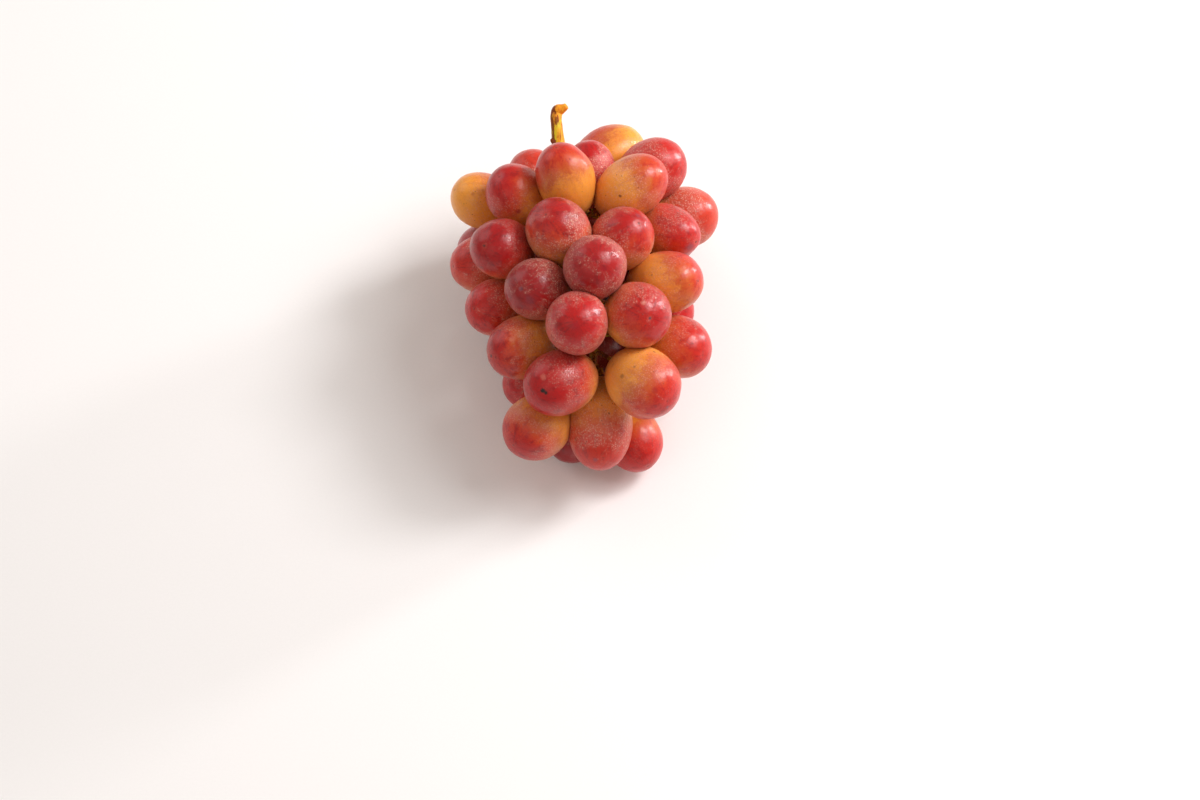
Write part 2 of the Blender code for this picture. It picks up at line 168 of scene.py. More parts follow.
# Seen berries: name, place of the free end's round across and down the picture, nearness (mm),
# the way the berry points (right, up, toward the eye), half length and half width (mm)
SEEN = [
    ("A", 620, 155, -50, 0.85, 0.35, -0.10, 19.5, 15.2),
    ("B", 657.5, 170.5, -31, 0.70, 0.50, 0.30, 19.0, 14.8),
    ("C", 684.5, 214, -35, 0.85, 0.10, 0.30, 19.0, 15.0),
    ("D", 639, 187, -6, 0.79, 0.55, 0.25, 20.0, 14.3),
    ("E", 589, 174, -25, 0.20, 0.80, 0.50, 17.0, 12.4),
    ("F", 563, 174, 2, -0.15, 0.78, 0.59, 20.0, 14.0),
    ("G", 535, 176, -30, -0.30, 0.85, 0.30, 18.0, 13.6),
    ("H", 514, 192, -6, -0.50, 0.45, 0.70, 18.0, 14.2),
    ("I", 482, 203, -27, -0.80, 0.30, 0.35, 17.5, 13.5),
    ("J", 559, 231, 17, -0.33, 0.39, 0.86, 19.0, 15.3),
    ("K", 624, 234, 11, 0.40, 0.55, 0.72, 19.0, 14.8),
    ("L", 500, 248, 13, -0.45, 0.05, 0.89, 18.5, 14.4),
    ("M", 675, 232, -7, 0.75, -0.40, 0.50, 19.0, 12.6),
    ("N", 486, 248, -38, -0.80, 0.10, 0.00, 17.0, 13.4),
    ("O", 478, 264, -13, -0.85, -0.10, 0.50, 18.0, 13.8),
    ("P", 594.5, 269, 33, 0.00, 0.05, 1.00, 19.0, 15.0),
    ("Q", 535, 288, 28, -0.40, -0.06, 0.91, 19.0, 14.8),
    ("R", 669, 280, 13, 0.80, -0.05, 0.55, 20.0, 14.9),
    ("S", 491, 308, 3, -0.60, -0.05, 0.75, 19.0, 13.8),
    ("T", 577.5, 321.5, 43, -0.02, -0.02, 1.00, 19.0, 14.9),
    ("U", 639, 315, 35, 0.33, -0.10, 0.93, 19.0, 15.7),
    ("V", 683, 348, 12, 0.60, -0.25, 0.70, 19.0, 14.8),
    ("W", 518, 351.5, 15, -0.65, -0.19, 0.74, 20.0, 14.8),
    ("X", 553.8, 383.5, 30, -0.60, -0.30, 0.74, 20.0, 15.7),
    ("Y", 646, 385, 29, 0.60, -0.42, 0.70, 20.5, 16.6),
    ("Z", 598.5, 436, 14, 0.00, -0.93, 0.35, 23.0, 15.2),
    ("AA", 537, 424, 8, -0.50, -0.60, 0.55, 18.0, 15.3),
    ("AB", 635, 444, -8, 0.40, -0.75, 0.40, 19.0, 14.0),
    ("AC", 530, 385, -9, -0.80, -0.30, 0.20, 18.0, 13.5),
    ("AD", 572, 436, -13, -0.10, -0.90, 0.10, 18.0, 13.6),
    ("AE", 672, 236, -48, 0.90, -0.30, -0.20, 17.0, 13.0),
    ("AF", 668, 312, -16, 0.90, -0.10, 0.20, 17.0, 13.0),
]

# Hidden berries lie in rows across the underside: distance along the bunch, then places across it (mm)
HIDDEN_ROWS = [
    (50, (-22, 27)), (66, (5,)), (80, (-30, 32)), (96, (-10,)), (107, (-40, 15, 34)), (136, (-26, 2, 30)),
]
HIDDEN_HEIGHT = 15.5

# The stalk through the bunch, from its upper end to its lower one (mm over the ground)
RACHIS = np.array([
    (-12.5, 150, 60), (-8, 139, 58), (-5, 124, 56), (0, 95, 52), (2, 65, 46), (3, 38, 35),
], float)

# The cut stalk above the bunch, read as the berries' places are: across, down, nearness (mm)
PEDUNCLE = [(563, 160, -35), (560, 149, -36), (557.5, 135, -36.5), (556.3, 120, -37.5)]

# Its hooked tip, finer than the solids have it, with its radii (mm)
HOOK = [
    (556.6, 113, -38.5), (558, 110.2, -38.3), (561, 109, -38), (564, 107.6, -37.5), (566.4, 106, -37),
]
HOOK_RADII = (2.8, 2.8, 2.5, 1.9, 1.5)

# The cut side shoot low on that stalk, with its radii (mm)
SHOOT = [(557.5, 141, -36), (554.5, 141.5, -35.5), (552.6, 142.5, -35), (551.8, 143, -35)]
SHOOT_RADII = (1.6, 1.9, 1.9, 1.5)

# How each seen berry is coloured: the side that the blush is on (right, up, toward the eye), where its
# edge runs (-1 all red, 1 none), how deep the red is, how much bloom lies on it, and how dark its scar is
LOOKS = {
    "A": ((-0.6, 0.6, 0.2), 0.85, 0.15, 0.15, 0.3),
    "B": ((0.3, 0.3, 0.9), -0.5, 0.42, 0.6, 0.4),
    "C": ((0.5, 0.2, 0.6), 0.5, 0.08, 0.85, 0.3),
    "D": ((0.9, 0.35, 0.1), 0.62, 0.3, 0.55, 0.2),
    "E": ((0.1, 0.5, 0.8), -0.8, 0.6, 0.95, 0.3),
    "F": ((-0.4, 0.85, 0.1), 0.45, 0.28, 0.18, 0.3),
    "G": ((0.0, 0.7, 0.6), 0.05, 0.05, 1.35, 0.3),
    "H": ((-0.6, 0.6, 0.3), 0.22, 0.68, 0.4, 0.2),
    # I's bloom is raised to lighten it: painted light where the lamps leave it dim
    "I": ((0.5, 0.85, 0.1), 0.95, 0.0, 0.35, 0.2),
    "J": ((0.0, 0.8, 0.5), 0.18, 0.78, 0.9, 0.4),
    "K": ((0.15, 0.7, 0.5), 0.22, 0.7, 0.85, 0.6),
    "L": ((-0.3, 0.4, 0.6), -0.1, 0.82, 0.3, 0.6),
    "M": ((0.8, 0.2, 0.4), 0.18, 0.54, 0.5, 0.9),
    "N": ((-1.0, 0.0, 0.0), -0.8, 0.8, 0.2, 0.5),
    "O": ((-0.5, 0.2, 0.3), 0.36, 0.34, 0.8, 0.5),
    "P": ((0.0, 0.1, 1.0), -0.9, 0.8, 0.85, 0.1),
    "Q": ((-0.4, 0.3, 0.8), 0.0, 0.95, 0.9, 0.2),
    "R": ((0.85, 0.45, 0.1), 0.5, 0.45, 0.35, 0.4),
    "S": ((-0.6, 0.0, 0.6), 0.34, 0.58, 0.75, 0.3),
    "T": ((-0.1, 0.1, 1.0), -0.05, 0.66, 0.8, 0.0),
    "U": ((0.6, 0.2, 0.6), 0.25, 0.7, 0.6, 0.5),
    "V": ((0.8, 0.2, 0.5), 0.35, 0.5, 0.4, 0.2),
    "W": ((-0.85, -0.1, 0.3), 0.45, 0.8, 0.6, 0.3),
    "X": ((-0.4, 0.1, 0.85), 0.05, 0.7, 0.4, 0.0),
    "Y": ((0.65, -0.5, 0.3), 0.48, 0.5, 0.42, 0.2),
    "Z": ((0.0, -0.9, 0.3), 0.26, 0.22, 0.72, 0.2),
    "AA": ((-0.6, -0.6, 0.3), 0.4, 0.68, 0.45, 0.3),
    # AB's blush edge is lowered so its top right is redder and darker: painted shade
    "AB": ((0.4, -0.8, 0.2), 0.06, 0.45, 0.12, 0.3),
    "AC": ((-0.7, 0.0, 0.5), -0.5, 0.66, 0.5, 0.5),
    "AD": ((0.0, -0.6, 0.6), -0.6, 0.95, 0.4, 0.5),
    "AE": ((0.7, 0.0, 0.5), -0.6, 0.6, 0.3, 0.5),
    "AF": ((0.7, 0.0, 0.5), -0.6, 0.6, 0.3, 0.5),
}

# Marks on the skins, berry by berry: place across and down the picture, how wide (mm), colour and strength;
# the pale marks at the upper right of D and U are painted highlights
MARKS_AND_HIGHLIGHTS = {
    # D's last, pale mark is a painted highlight
    "D": [(620.3, 196.1, 0.9, "brown", 0.8), (605.5, 195.6, 0.5, "brown", 0.8),
          (631, 187.5, 0.4, "brown", 0.6), (658, 172, 2.2, "pale", 0.25)],
    "F": [(551, 148, 0.9, "grey", 0.8), (547.5, 163, 1.6, "red", 0.5)],
    "H": [(540.8, 191.9, 2, "brown", 0.7), (517.7, 211.3, 1.8, "red", 0.7), (503, 176, 2.5, "red", 0.4)],
    "I": [(480.7, 201.7, 0.5, "brown", 0.7), (467.7, 202.4, 0.4, "brown", 0.6),
          (473, 194.3, 1.2, "red", 0.35)],
    "J": [(567, 217.5, 1.8, "red", 0.7), (572, 196, 3.4, "red", 0.6), (538, 226, 1.8, "red", 0.4)],
    "K": [(638, 216, 2, "grey", 0.4), (622, 206, 2.6, "red", 0.6), (622, 231.5, 1, "red", 0.6)],
    "L": [(483.5, 245.5, 0.8, "dark", 0.6), (506.5, 233, 1, "red", 0.5)],
    "M": [(690, 247, 2.6, "grey", 0.45), (669.5, 226, 1.4, "red", 0.6), (659, 223, 1.2, "red", 0.6)],
    "P": [(594, 259, 1.8, "red", 0.5), (604, 268, 2, "red", 0.5), (583, 283, 2.4, "grey", 0.3)],
    "Q": [(521, 288.5, 1.4, "grey", 0.5), (512, 277, 2, "red", 0.5), (530, 300, 3, "grey", 0.25)],
    "R": [(652, 275, 0.7, "brown", 0.5), (672, 258, 1, "red", 0.5)],
    "T": [(575, 326, 3, "red", 0.5), (601, 339, 2.2, "red", 0.5), (560, 318, 1.4, "red", 0.3)],
    # U's pale mark is a painted highlight
    "U": [(650.2, 318.5, 0.9, "grey", 0.7), (643, 303, 1.6, "pale", 0.3), (625, 300, 0.6, "red", 0.5)],
    "W": [(491, 356, 1, "dark", 0.8), (512, 339, 2.2, "pale", 0.25)],
    "X": [(542.6, 390.6, 1.4, "dark", 1), (546, 392.8, 1.2, "dark", 1), (543.6, 377, 2, "pale", 0.22),
          (569, 364, 1.8, "red", 0.6), (553, 359, 2.4, "red", 0.5), (573, 388, 1.4, "red", 0.3)],
    "Y": [(654.2, 351.9, 1, "dark", 0.7), (667.5, 406.9, 1.3, "grey", 0.6),
          (622.2, 376.3, 1.5, "brown", 0.5), (612, 365, 1.6, "brown", 0.3), (634.5, 367, 0.8, "brown", 0.5),
          (655, 390, 2, "red", 0.4)],
    "Z": [(595.4, 459.6, 1.5, "grey", 0.5), (576.9, 439.3, 1.5, "brown", 0.45),
          (609.2, 413.3, 0.6, "dark", 0.6), (615, 404, 0.5, "brown", 0.6), (603, 424, 0.5, "brown", 0.5)],
    "AA": [(535.2, 422.6, 1, "pale", 0.4), (527, 437, 1.2, "red", 0.4)],
}

# Colours, as red, green and blue of 255
# A dull olive gold: the stalk end's own green, darkened as painted shade
GREEN_GOLD_AND_SHADE = (184, 124, 34)
GOLD = (238, 156, 54)
MOTTLE = (196, 104, 34)
AMBER = (200, 96, 36)
ROSE = (202, 52, 26)
RED = (188, 18, 18)
WINE = (118, 8, 16)
BLOOM = (240, 194, 172)
SPECK = (92, 38, 24)
SCAR = (46, 26, 24)
SCAR_RING = (206, 150, 120)
STALK_GOLD = (238, 158, 34)
STALK_GREEN = (210, 190, 40)
STALK_BROWN = (112, 42, 6)
STALK_CORK = (222, 118, 40)
STALK_RUST = (176, 70, 24)
MARK_COLOURS = {"brown": (112, 56, 34), "dark": (40, 24, 22), "grey": (112, 76, 92), "red": (150, 16, 34),
                "pale": (232, 176, 150)}
FLOOR = (250, 248, 246)
FLOOR_TOOTH = (236, 234, 232)

# What the looks of a hidden berry are drawn between: edge, depth, bloom and scar; all deep wine with little
# bloom, as painted shade in the gaps that show them
HIDDEN_SHADED_LOOKS = ((-2.2, 0.9, 0.05, 0.4), (-1.8, 1.2, 0.25, 0.8))
PATTERN_SHIFT = 3

# The patterns of a skin: scale (to the metre), octaves, roughness and warp
CLOUDS = {"broad": (70.0, 2.0, 0.5, 0.4), "middling": (230.0, 4.0, 0.6, 0.3), "fine": (1000.0, 4.0, 0.65)}
STREAKS = (480.0, 4.0, 0.6)
STREAK_TURN = 0.012
STREAK_STRETCH = 0.22
BLOOM_PATCHES = (125.0, 4.0, 0.62, 0.7)
MOTE_SCALE = 1200.0
SPECK_SCALE = 400.0

# How far each pattern sways the blush's edge, and how soft the edge is
BLUSH_SWAY = {"broad": 0.9, "middling": 0.5, "streaks": 0.38, "fine": 0.55}
BLUSH_SPREAD = 0.85

# Up to this depth a red lies between rose and red, and past it toward wine
DEEP = 0.6
DEEPENING = 1.6

# How strong the mottles, blotches and specks are
AMBER_MOTTLES = 0.22
RED_MOTTLES = 0.28
RED_BLOTCHES = 0.75
SPECK_STRENGTH = 0.55

# Where the stalk end's green and painted shade start and are full, as shares of the half length
GREEN_AND_SHADE_SPAN = (-0.20, -0.95)

# The scar (m): where its ring and its pit start and are full, and how far their edge wanders
SCAR_RING_SPAN = (0.0022, 0.0008)
SCAR_PIT_SPAN = (0.00085, 0.0003)
SCAR_SWAY = 0.0009

# The lights: name, place (m), size (m, across and up for an oblong one), power (W) and colour
DAYLIGHT = (0.99, 0.98, 1.0)
WARM = (1.0, 0.90, 0.82)
LIGHTS = [
    ("key", (0.95, 0.35, 1.05), 0.40, 8.0, DAYLIGHT),
    ("lamp", (0.85, 0.15, 1.15), 0.95, 9.0, DAYLIGHT),
    ("window", (1.5, 0.8, 0.36), (0.22, 0.6), 15.0, DAYLIGHT),
    ("fill", (-0.9, -1.0, 1.4), 1.4, 2.5, WARM),
    ("back", (-1.2, 0.9, 0.8), 1.2, 5.0, DAYLIGHT),
]
LIT_POINT = (0.0, 0.0, 0.05)
SKY_COLOUR = (1.0, 0.93, 0.87, 1.0)
SKY_STRENGTH = 0.45


def view_axes():
    """Right, up and toward the eye, as the picture was taken."""
    e = math.radians(EYE_ELEVATION)
    return (np.array([1.0, 0.0, 0.0]), np.array([0.0, math.sin(e), math.cos(e)]),
            np.array([0.0, -math.cos(e), math.sin(e)]))


def from_view(across, up, near):
    """The point that lies so far across, up and toward the eye from the datum."""
    r, u, t = view_axes()
    return across * r + up * u + near * t + np.array([0.0, 0.0, DATUM_HEIGHT])


def on_sight_line(x, y, near):
    """The point at a place in the picture, at a nearness, and the eye that looks at it."""
    t = view_axes()[2]
    across, down = (m - d for m, d in zip(PICTURE_MIDDLE, DATUM))
    eye = from_view(across * MM_PER_UNIT, -down * MM_PER_UNIT, EYE_DISTANCE)
    ray = from_view((x - DATUM[0]) * MM_PER_UNIT, (DATUM[1] - y) * MM_PER_UNIT, 0.0) - eye
    return eye + ray * (EYE_DISTANCE - near) / -(ray @ t), eye


def nearest_on_rachis(points):
    """The nearest point of the rachis to each point."""
    a, b = RACHIS[:-1], RACHIS[1:]
    q = points[..., None, :]
    s = np.clip(((q - a) * (b - a)).sum(-1) / ((b - a) ** 2).sum(-1), 0, 1)
    foot = a + s[..., None] * (b - a)
    pick = np.linalg.norm(q - foot, axis=-1).argmin(-1)
    return np.take_along_axis(foot, pick[..., None, None].repeat(3, -1), -2)[..., 0, :]


def berries_at_start():
    """Centre, axis, half length, half width, sight line and whether seen, for each berry."""
    t = view_axes()[2]
    rows = []
    for _, x, y, near, right, up, toward, half, wide in SEEN:
        axis = np.array(view_axes()).T @ np.array([right, up, toward])
        axis /= np.linalg.norm(axis)
        end, eye = on_sight_line(x, y, near)
        centre = end - (half - wide) * (axis - (axis @ t) * t)
        ray = (centre - eye) / np.linalg.norm(centre - eye)
        rows.append((centre, axis, half, wide, ray, True))
    for along, places in HIDDEN_ROWS:
        for across in places:
            centre = np.array([across, along, HIDDEN_HEIGHT], float)
            axis = centre - nearest_on_rachis(centre)
            axis /= np.linalg.norm(axis)
            rows.append((centre, axis, HIDDEN_HALF_LENGTH, HIDDEN_HALF_WIDTH, np.zeros(3), False))
    return [np.array(column) for column in zip(*rows)] + [eye]


def worst_presses(ball, radius):
    """How deep each berry is pressed into each other one, the way out, and which of its balls is pressed."""
    n, k = radius.shape
    gap = ball[:, None, :, None, :] - ball[None, :, None, :, :]
    apart = np.linalg.norm(gap, axis=-1) + TINY
    deep = (radius[:, None, :, None] + radius[None, :, None, :] - PRESS - apart).reshape(n, n, k * k)
    pick = deep.argmax(-1)
    way = np.take_along_axis((gap / apart[..., None]).reshape(n, n, k * k, 3),
                             pick[..., None, None].repeat(3, -1), -2)[:, :, 0, :]
    worst = deep.max(-1)
    worst[np.eye(n, dtype=bool)] = -FAR_AWAY
    return worst, way, pick // k


def stub_shoves(stub, ball, radius):
    """How each berry's small stalk is shoved out of each other berry."""
    gap = stub[:, None, None, :] - ball[None]
    apart = np.linalg.norm(gap, axis=-1) + TINY
    deep = radius[None] + STUB_ROOM - apart
    pick = deep.argmax(-1)
    hit = np.clip(deep.max(-1), 0, None)
    hit[np.eye(len(stub), dtype=bool)] = 0
    shove = np.take_along_axis(gap / apart[..., None], pick[..., None, None].repeat(3, -1), -2)[:, :, 0, :]
    return shove * (STUB_SHARE * hit[..., None])


def settle_berries():
    """Press the berries together till each touches its neighbours, the seen ones on their sight lines."""
    centre, axis, half, wide, ray, seen, eye = berries_at_start()
    home, want = centre.copy(), axis.copy()
    t = view_axes()[2]
    at = np.array(BALLS) * ((half ** 2 - wide ** 2) / half)[:, None]
    radius = wide[:, None] * np.sqrt(1 - at ** 2 / (half ** 2 - wide ** 2)[:, None])
    for step in range(ROUNDS):
        ball = centre[:, None, :] + at[:, :, None] * axis[:, None, :]
        worst, way, pressed = worst_presses(ball, radius)
        push = PUSH_SHARE * way * np.clip(worst, 0, None)[..., None]
        arm = np.take_along_axis(ball, pressed[..., None].repeat(3, -1), 1) - centre[:, None, :]
        force = push.sum(1)
        turn = np.cross(arm, push).sum(1)
        # The small stalk of each keeps its room
        stub = centre - axis * (half + STUB_LENGTH)[:, None]
        shove = stub_shoves(stub, ball, radius)
        force += shove.sum(1) - shove.sum(0)
        turn += np.cross((stub - centre)[:, None, :], shove).sum(1)
        # The rachis keeps its room
        off = ball - nearest_on_rachis(ball)
        away = np.linalg.norm(off, axis=-1) + TINY
        short = np.clip(radius + RACHIS_ROOM - away, 0, None)
        room = RACHIS_SHARE * off / away[..., None] * short[..., None]
        force += room.sum(1)
        turn += np.cross(ball - centre[:, None, :], room).sum(1)
        # The ground holds up the lowest
        low = centre[:, 2] - np.sqrt((half * axis[:, 2]) ** 2 + wide ** 2 * (1 - axis[:, 2] ** 2))
        force[:, 2] += GROUND_SHARE * np.clip(-RESTING_DIP - low, 0, None)
        # A seen berry is drawn to its sight line and a little to its depth, a hidden one to its place
        pull = SIGHT_PULL if step < LATE_FROM * ROUNDS else LATE_SIGHT_PULL
        on_line = eye + ((centre - eye) * ray).sum(1)[:, None] * ray
        to_line = pull * (on_line - centre) + DEPTH_PULL * ((home - centre) @ t)[:, None] * t
        force += np.where(seen[:, None], to_line, HOME_PULL * (home - centre))
        # Each is drawn to its nearest neighbours, and in to the rachis
        near = np.argsort(-worst, axis=1)[:, :NEIGHBOURS]
        slack = np.clip(-np.take_along_axis(worst, near, 1), 0, NEIGHBOUR_REACH)
        toward = np.take_along_axis(way, near[..., None].repeat(3, -1), 1)
        force -= NEIGHBOUR_PULL * (toward * slack[..., None]).sum(1)
        inward = (ball - off).mean(1) - centre
        force += INWARD_PULL * inward / np.linalg.norm(inward, axis=1)[:, None]
        centre = centre + MOVE_SHARE * force
        axis = axis + TURN_SHARE * np.cross(turn, axis) + AXIS_MEMORY * want
        axis /= np.linalg.norm(axis, axis=1)[:, None]
    return centre, axis, half, wide


def clearance(points, berries):
    """How far each point is outside the nearest berry, and the way out of it."""
    centre, axis, half, wide = berries
    best = np.full(len(points), FAR_AWAY)
    out = np.zeros((len(points), 3))
    for c, a, h, w in zip(centre, axis, half, wide):
        q = points - c
        along = q @ a
        across = q - along[:, None] * a
        size = np.sqrt((along / h) ** 2 + (across ** 2).sum(1) / w ** 2) + TINY
        length = np.linalg.norm(q, axis=1)
        free = length * (1 - 1 / size)
        normal = along[:, None] * a / h ** 2 + across / w ** 2
        normal /= np.linalg.norm(normal, axis=1)[:, None] + TINY
        closer = free < best
        best = np.where(closer, free, best)
        out[closer] = normal[closer]
    return best, out


def foot_of(berry):
    """Where a berry's stalk ends, and the way from there out along the stalk."""
    centre, axis, half, _ = berry
    return centre - axis * (half * FACET_GROWTH + STALK_GAP), -axis


def at_cell(cell):
    """The place of a cell of the grid."""
    return GRID_CORNER + GRID_STEP * np.array(cell)


def cell_at(place):
    """The cell of the grid that is nearest a place."""
    return np.rint((place - GRID_CORNER) / GRID_STEP).astype(int)


def price_cells(berries):
    """For each cell: the price of a way from the rachis to it, its own cost, and how far the rachis is."""
    cells = np.stack(np.meshgrid(*[np.arange(c) for c in GRID_COUNT], indexing="ij"), -1)
    places = at_cell(cells).reshape(-1, 3)
    free = clearance(places, berries)[0].reshape(GRID_COUNT)
    core = np.linalg.norm(places - nearest_on_rachis(places), axis=1).reshape(GRID_COUNT)
    cost = 1 + TIGHT_COST * np.clip(EASY_ROOM - free, 0, None) ** 2 + OUTWARD_COST * core ** 2
    cost[free < DEEPEST_PASS] = BLOCKED_COST
    arc = np.concatenate([[0], np.cumsum(np.linalg.norm(np.diff(RACHIS, axis=0), axis=1))])
    price = np.full(GRID_COUNT, FAR_AWAY)
    for s in np.arange(0, arc[-1], 1.0):
        cell = tuple(cell_at(np.array([np.interp(s, arc, RACHIS[:, i]) for i in range(3)])))
        price[cell] = min(price[cell], RACHIS_COST * s)
    price, cost, core = price.astype(np.float32), cost.astype(np.float32), core.astype(np.float32)
    for _ in range(SWEEPS):
        before = price.copy()
        for step in GRID_WAYS:
            here = tuple(slice(max(0, -s), min(c, c - s)) for s, c in zip(step, GRID_COUNT))
            there = tuple(slice(max(0, s), min(c, c + s)) for s, c in zip(step, GRID_COUNT))
            length = np.float32(0.5 * GRID_STEP * math.sqrt(sum(s * s for s in step)))
            price[here] = np.minimum(price[here], price[there] + length * (cost[here] + cost[there]))
        if np.allclose(before, price):
            break
    return price, cost, core


def trace_to_rachis(berry, price, cost, core):
    """The cells of the cheapest way from a berry's small stalk to the rachis."""
    end, back = foot_of(berry)
    cell = tuple(np.clip(cell_at(end + back * STRAIGHT_OUT), 1, GRID_COUNT - 2))
    trace = [cell]
    while len(trace) < LONGEST_TRACE and core[cell] > CORE_REACH:
        around = [tuple(np.add(cell, s)) for s in GRID_WAYS]
        around = [c for c in around if all(0 <= v < m for v, m in zip(c, GRID_COUNT))]
        prices = [price[c] + GRID_STEP * math.dist(c, cell) * 0.5 * (cost[c] + cost[cell]) for c in around]
        best = int(np.argmin(prices))
        if price[around[best]] >= price[cell]:
            break
        cell = around[best]
        trace.append(cell)
    return trace


def share_traces(traces, berries):
    """A path along each trace, the longest first, cut off where it runs into one that is there already."""
    loads = {}
    for cell in sum(traces, []):
        loads[cell] = loads.get(cell, 0) + 1
    paths, used = [], {}
    for i in sorted(range(len(traces)), key=lambda i: (-len(traces[i]), i)):
        trace = traces[i]
        cut = next((j for j, cell in enumerate(trace) if cell in used), None)
        own = trace if cut is None else trace[:cut]
        end, back = foot_of([column[i] for column in berries])
        points = [end, end + back * RECEPTACLE_LENGTH, end + back * STRAIGHT_OUT]
        points += [at_cell(cell) for cell in own[1:]]
        load = [1, 1, 1] + [loads[cell] for cell in own[1:]]
        if cut is None:
            points.append(nearest_on_rachis(points[-1]))
            load.append(load[-1])
            parent, join = None, None
        else:
            parent, join = used[trace[cut]], at_cell(trace[cut])
        for cell in own:
            used.setdefault(cell, len(paths))
        paths.append({"points": np.array(points), "load": load, "parent": parent, "join": join})
    return paths


def stalk_paths(berries):
    """A path from the rachis to each berry through the gaps between them, shared where they run together."""
    prices = price_cells(berries)
    paths = share_traces([trace_to_rachis(berry, *prices) for berry in zip(*berries)], berries)
    for path in paths:
        p, load = path["points"], path["load"]
        if path["parent"] is not None:
            trunk = paths[path["parent"]]["smooth"]
            p = np.vstack([p, trunk[np.linalg.norm(trunk - path["join"], axis=1).argmin()]])
            load = load + [load[-1]]
        radius = np.minimum(PEDICEL_RADIUS * np.array(load, float) ** LOAD_POWER, LATERAL_RADIUS)
        for _ in range(EASINGS):
            middle = 0.5 * p[2:-1] + 0.25 * (p[1:-2] + p[3:])
            free, out = clearance(middle, berries)
            short = np.clip(radius[2:-1] + STALK_CLEARANCE - free, 0, None)
            p[2:-1] = middle + out * short[:, None]
        path["smooth"], path["radius"] = p, radius
    return [(path["smooth"], path["radius"]) for path in paths]


def berry_pose(berry, spin):
    """The turn that lays a berry's own length along its axis, as the solids have it."""
    turn = Vector((0, 0, 1)).rotation_difference(Vector(berry[1])).to_matrix().to_4x4()
    return Matrix.Translation(Vector(berry[0])) @ turn @ Matrix.Rotation(spin, 4, "Z")


def shift_to_frame(each, spins):
    """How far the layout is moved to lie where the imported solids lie."""
    ring = [math.tau * j / BERRY_SIDES for j in range(BERRY_SIDES)]
    low = [FAR_AWAY, FAR_AWAY]
    for berry, spin in zip(each, spins):
        pose = berry_pose(berry, spin)
        _, _, half, wide = berry
        for i in range(BERRY_RINGS + 1):
            polar = math.pi * i / BERRY_RINGS
            girth = wide * FACET_GROWTH * math.sin(polar) * (1 + TAPER * math.cos(polar))
            height = half * FACET_GROWTH * math.cos(polar)
            for a in ring:
                at = pose @ Vector((girth * math.cos(a), girth * math.sin(a), height))
                low = [min(low[0], at.x), min(low[1], at.y)]
    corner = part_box("berries")[0]
    return np.array([corner.x * 1000 - low[0], corner.y * 1000 - low[1], 0.0])


def linear(colour):
    """A colour as the shaders hold it."""
    parts = [c / 255 for c in colour]
    return (*[p / 12.92 if p <= 0.04045 else ((p + 0.055) / 1.055) ** 2.4 for p in parts], 1.0)


def between(a, b, share):
    """A colour between two others."""
    return tuple(x + (y - x) * share for x, y in zip(a, b))


def add(tree, kind, links=None, values=None):
    """A shader node with its links and its values."""
    made = tree.nodes.new("ShaderNode" + kind)
    for key, value in (values or {}).items():
        made.inputs[key].default_value = value
    for key, socket in (links or {}).items():
        tree.links.new(socket, made.inputs[key])
    return made


def fill(tree, made, inputs):
    """Put a socket or a value into each of a node's inputs."""
    for key, value in inputs.items():
        if isinstance(value, bpy.types.NodeSocket):
            tree.links.new(value, made.inputs[key])
        else:
            made.inputs[key].default_value = value


def calc(tree, operation, a, b=0.0, c=0.0):
    """The result of a sum on sockets and numbers."""
    made = tree.nodes.new("ShaderNodeMath")
    made.operation = operation
    fill(tree, made, {0: a, 1: b, 2: c})
    return made.outputs[0]


def times(tree, a, b):
    """The product of two sockets or numbers."""
    return calc(tree, "MULTIPLY", a, b)


def weigh(tree, *parts, start=0.0):
    """The sum of patterns, each times its weight, from a starting value."""
    total = start
    for pattern, weight in parts:
        total = calc(tree, "MULTIPLY_ADD", pattern, weight, total)
    return total


def swayed(tree, value, pattern, reach):
    """A value moved up and down by a pattern that runs from 0 to 1."""
    return calc(tree, "MULTIPLY_ADD", calc(tree, "SUBTRACT", pattern, 0.5), reach, value)


def vector(tree, operation, a, b=(0.0, 0.0, 0.0), scale=None):
    """The result of a sum on vectors."""
    made = tree.nodes.new("ShaderNodeVectorMath")
    made.operation = operation
    fill(tree, made, {0: a, 1: b})
    if scale is not None:
        fill(tree, made, {"Scale": scale})
    return made.outputs["Value" if operation in ("DOT_PRODUCT", "LENGTH", "DISTANCE") else "Vector"]


def mix(tree, share, colour, other):
    """A colour mixed with one of the palette's."""
    made = tree.nodes.new("ShaderNodeMix")
    made.data_type = "RGBA"
    fill(tree, made, {0: share, 6: colour, 7: linear(other)})
    return made.outputs[2]


def soft_step(tree, value, low, high, to_low=0.0, to_high=1.0):
    """A smooth rise from one value to another as a third goes from low to high."""
    made = tree.nodes.new("ShaderNodeMapRange")
    made.interpolation_type = "SMOOTHSTEP"
    fill(tree, made, {0: value, 1: low, 2: high, 3: to_low, 4: to_high})
    return made.outputs[0]


def grain(tree, place, scale, detail, rough, warp=0.0):
    """A cloudy pattern, from 0 to 1."""
    made = tree.nodes.new("ShaderNodeTexNoise")
    fill(tree, made, {"Vector": place, "Scale": scale, "Detail": detail, "Roughness": rough})
    fill(tree, made, {"Distortion": warp})
    return made.outputs["Fac"]


def ramp(tree, value, stops):
    """A colour for each value, between stops."""
    made = tree.nodes.new("ShaderNodeValToRGB")
    points = made.color_ramp.elements
    while len(points) < len(stops):
        points.new(0.5)
    for point, (at, colour) in zip(points, stops):
        point.position, point.color = at, linear(colour)
    tree.links.new(value, made.inputs[0])
    return made.outputs[0]


def new_material(name):
    """A material, its node tree and its Principled shader."""
    made = bpy.data.materials.new(name)
    made.use_nodes = True
    return made, made.node_tree, made.node_tree.nodes["Principled BSDF"]


